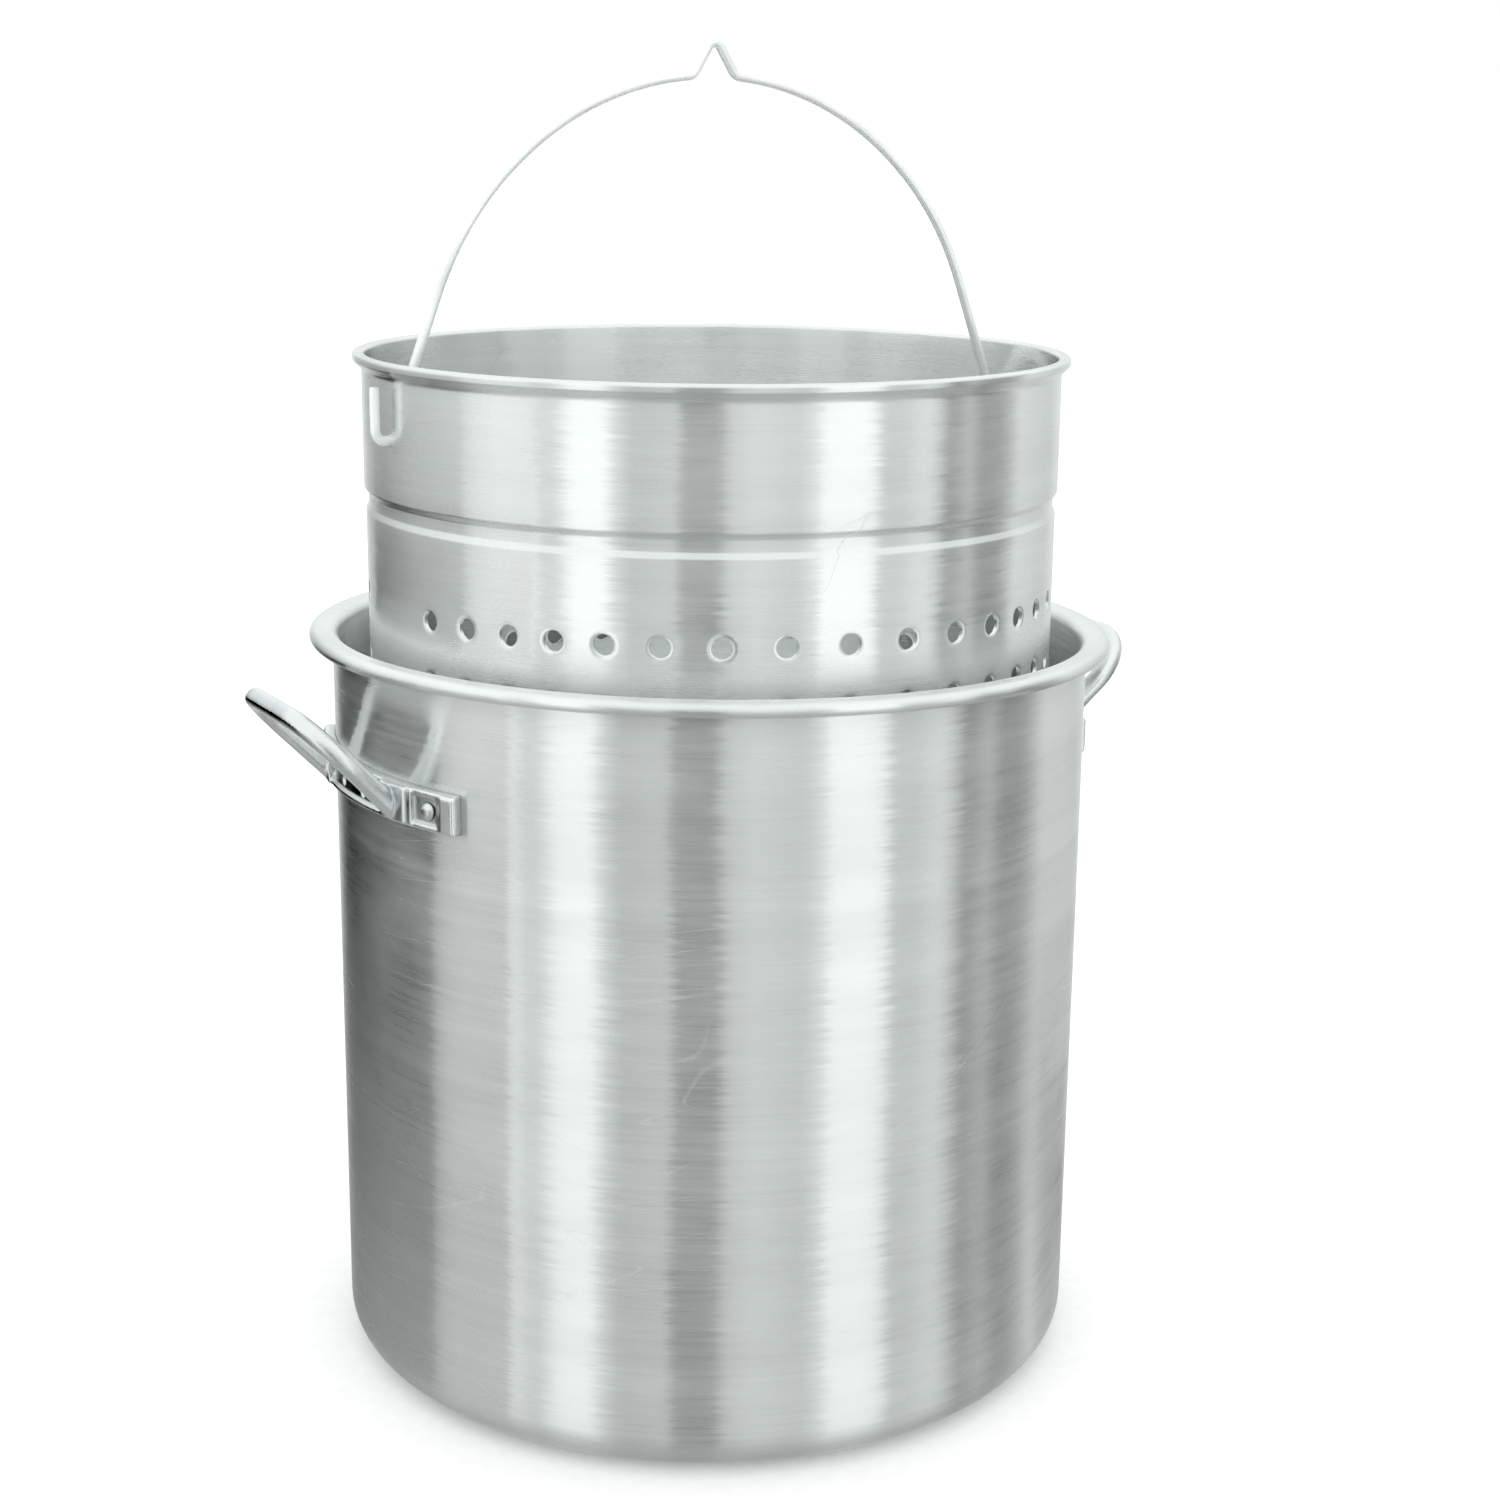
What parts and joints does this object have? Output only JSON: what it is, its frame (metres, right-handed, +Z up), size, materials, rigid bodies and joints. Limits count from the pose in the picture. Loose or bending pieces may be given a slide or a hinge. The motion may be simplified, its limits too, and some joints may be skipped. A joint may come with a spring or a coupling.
{
  "type": "brew kettle",
  "caption": "Straight-sided aluminium boiling kettle with riveted loop handles and a lift-out perforated strainer basket hung from a swinging wire bail.",
  "frame": {"origin": "centre of the pot's underside", "axes": "+Z up along the pot's axis; +X towards the right-hand pot handle, along the bail's hinge axis; +Y towards the back"},
  "size_m": [0.5278, 0.4494, 0.7371],
  "materials": {
    "pot_aluminium": "satin, brushed round the body",
    "basket_aluminium": "satin, brushed round the body",
    "cast_aluminium": "cast, tumbled bright",
    "rivet_aluminium": "bright",
    "bail_wire": "bright drawn wire"
  },
  "bodies": {
    "kettle": {"kettle_pot": "pot_aluminium", "left_handle": "cast_aluminium", "right_handle": "cast_aluminium", "left_handle_front_rivet": "rivet_aluminium", "left_handle_rear_rivet": "rivet_aluminium", "right_handle_front_rivet": "rivet_aluminium", "right_handle_rear_rivet": "rivet_aluminium"},
    "basket": {"strainer_basket": "basket_aluminium"},
    "bail": {"bail_handle": "bail_wire"}
  },
  "joints": [
    {"name": "basket_lift", "type": "slide", "parent": "kettle", "child": "basket", "axis": [0, 0, 1], "range_m": [-0.179, 0.26]},
    {"name": "bail_swing", "type": "hinge", "parent": "basket", "child": "bail", "pos_m": [0, 0, 0.53], "axis": [1, 0, 0], "range_deg": [-64, 64]}
  ]
}
